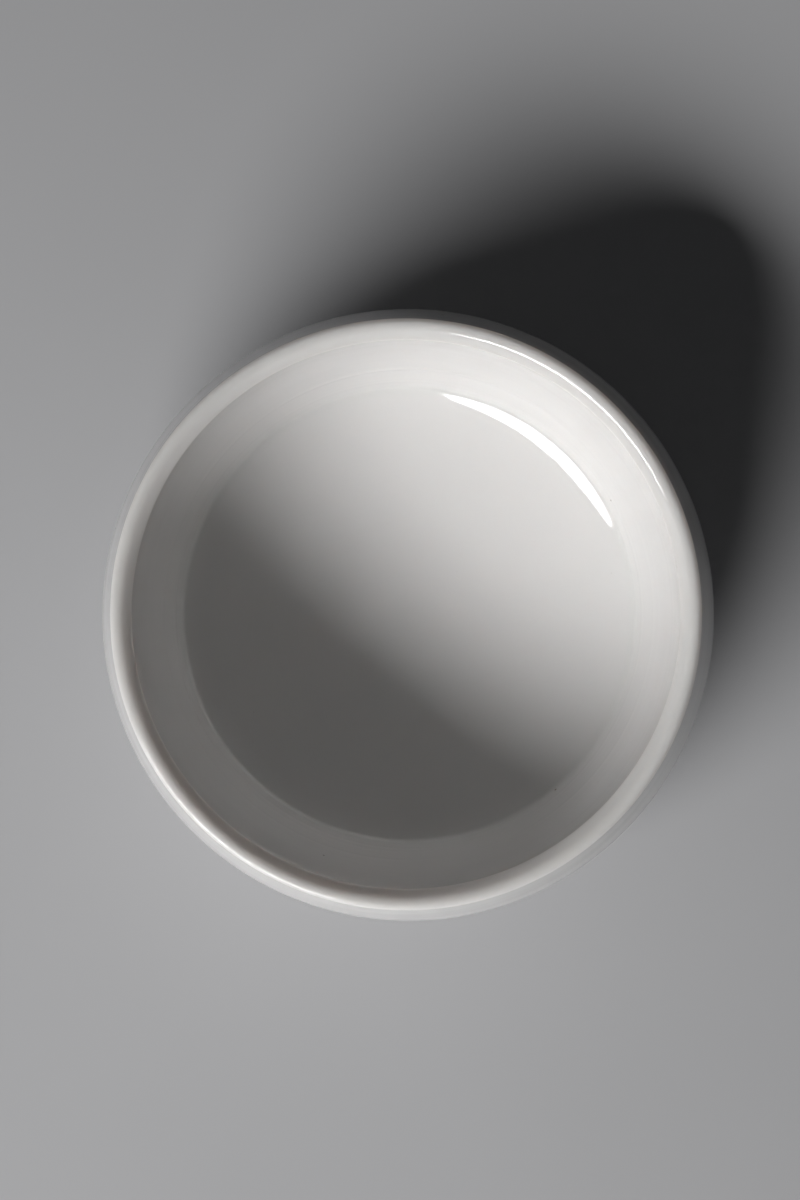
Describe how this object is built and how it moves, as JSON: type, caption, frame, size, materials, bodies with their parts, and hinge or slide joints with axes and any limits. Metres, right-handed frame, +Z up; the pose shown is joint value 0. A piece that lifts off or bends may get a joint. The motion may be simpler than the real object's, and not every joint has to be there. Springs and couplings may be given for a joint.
{
  "type": "porcelain crucible",
  "caption": "Low-form round laboratory crucible of glazed porcelain, with a rounded lip, a dished floor and an unglazed foot ring. It holds samples for heating.",
  "frame": {"origin": "centre of the foot ring, in the plane that the crucible stands on", "axes": "+Z up, along the crucible's axis of symmetry, from the foot to the lip; X and Y are any two directions in the standing plane"},
  "size_m": [0.0646, 0.0646, 0.0225],
  "materials": {
    "bare_porcelain": "matt, fired, unglazed",
    "white_glaze": "clear glossy glaze over white porcelain"
  },
  "bodies": {
    "root": {"porcelain_body": "bare_porcelain", "glaze_coat": "white_glaze"}
  },
  "joints": []
}
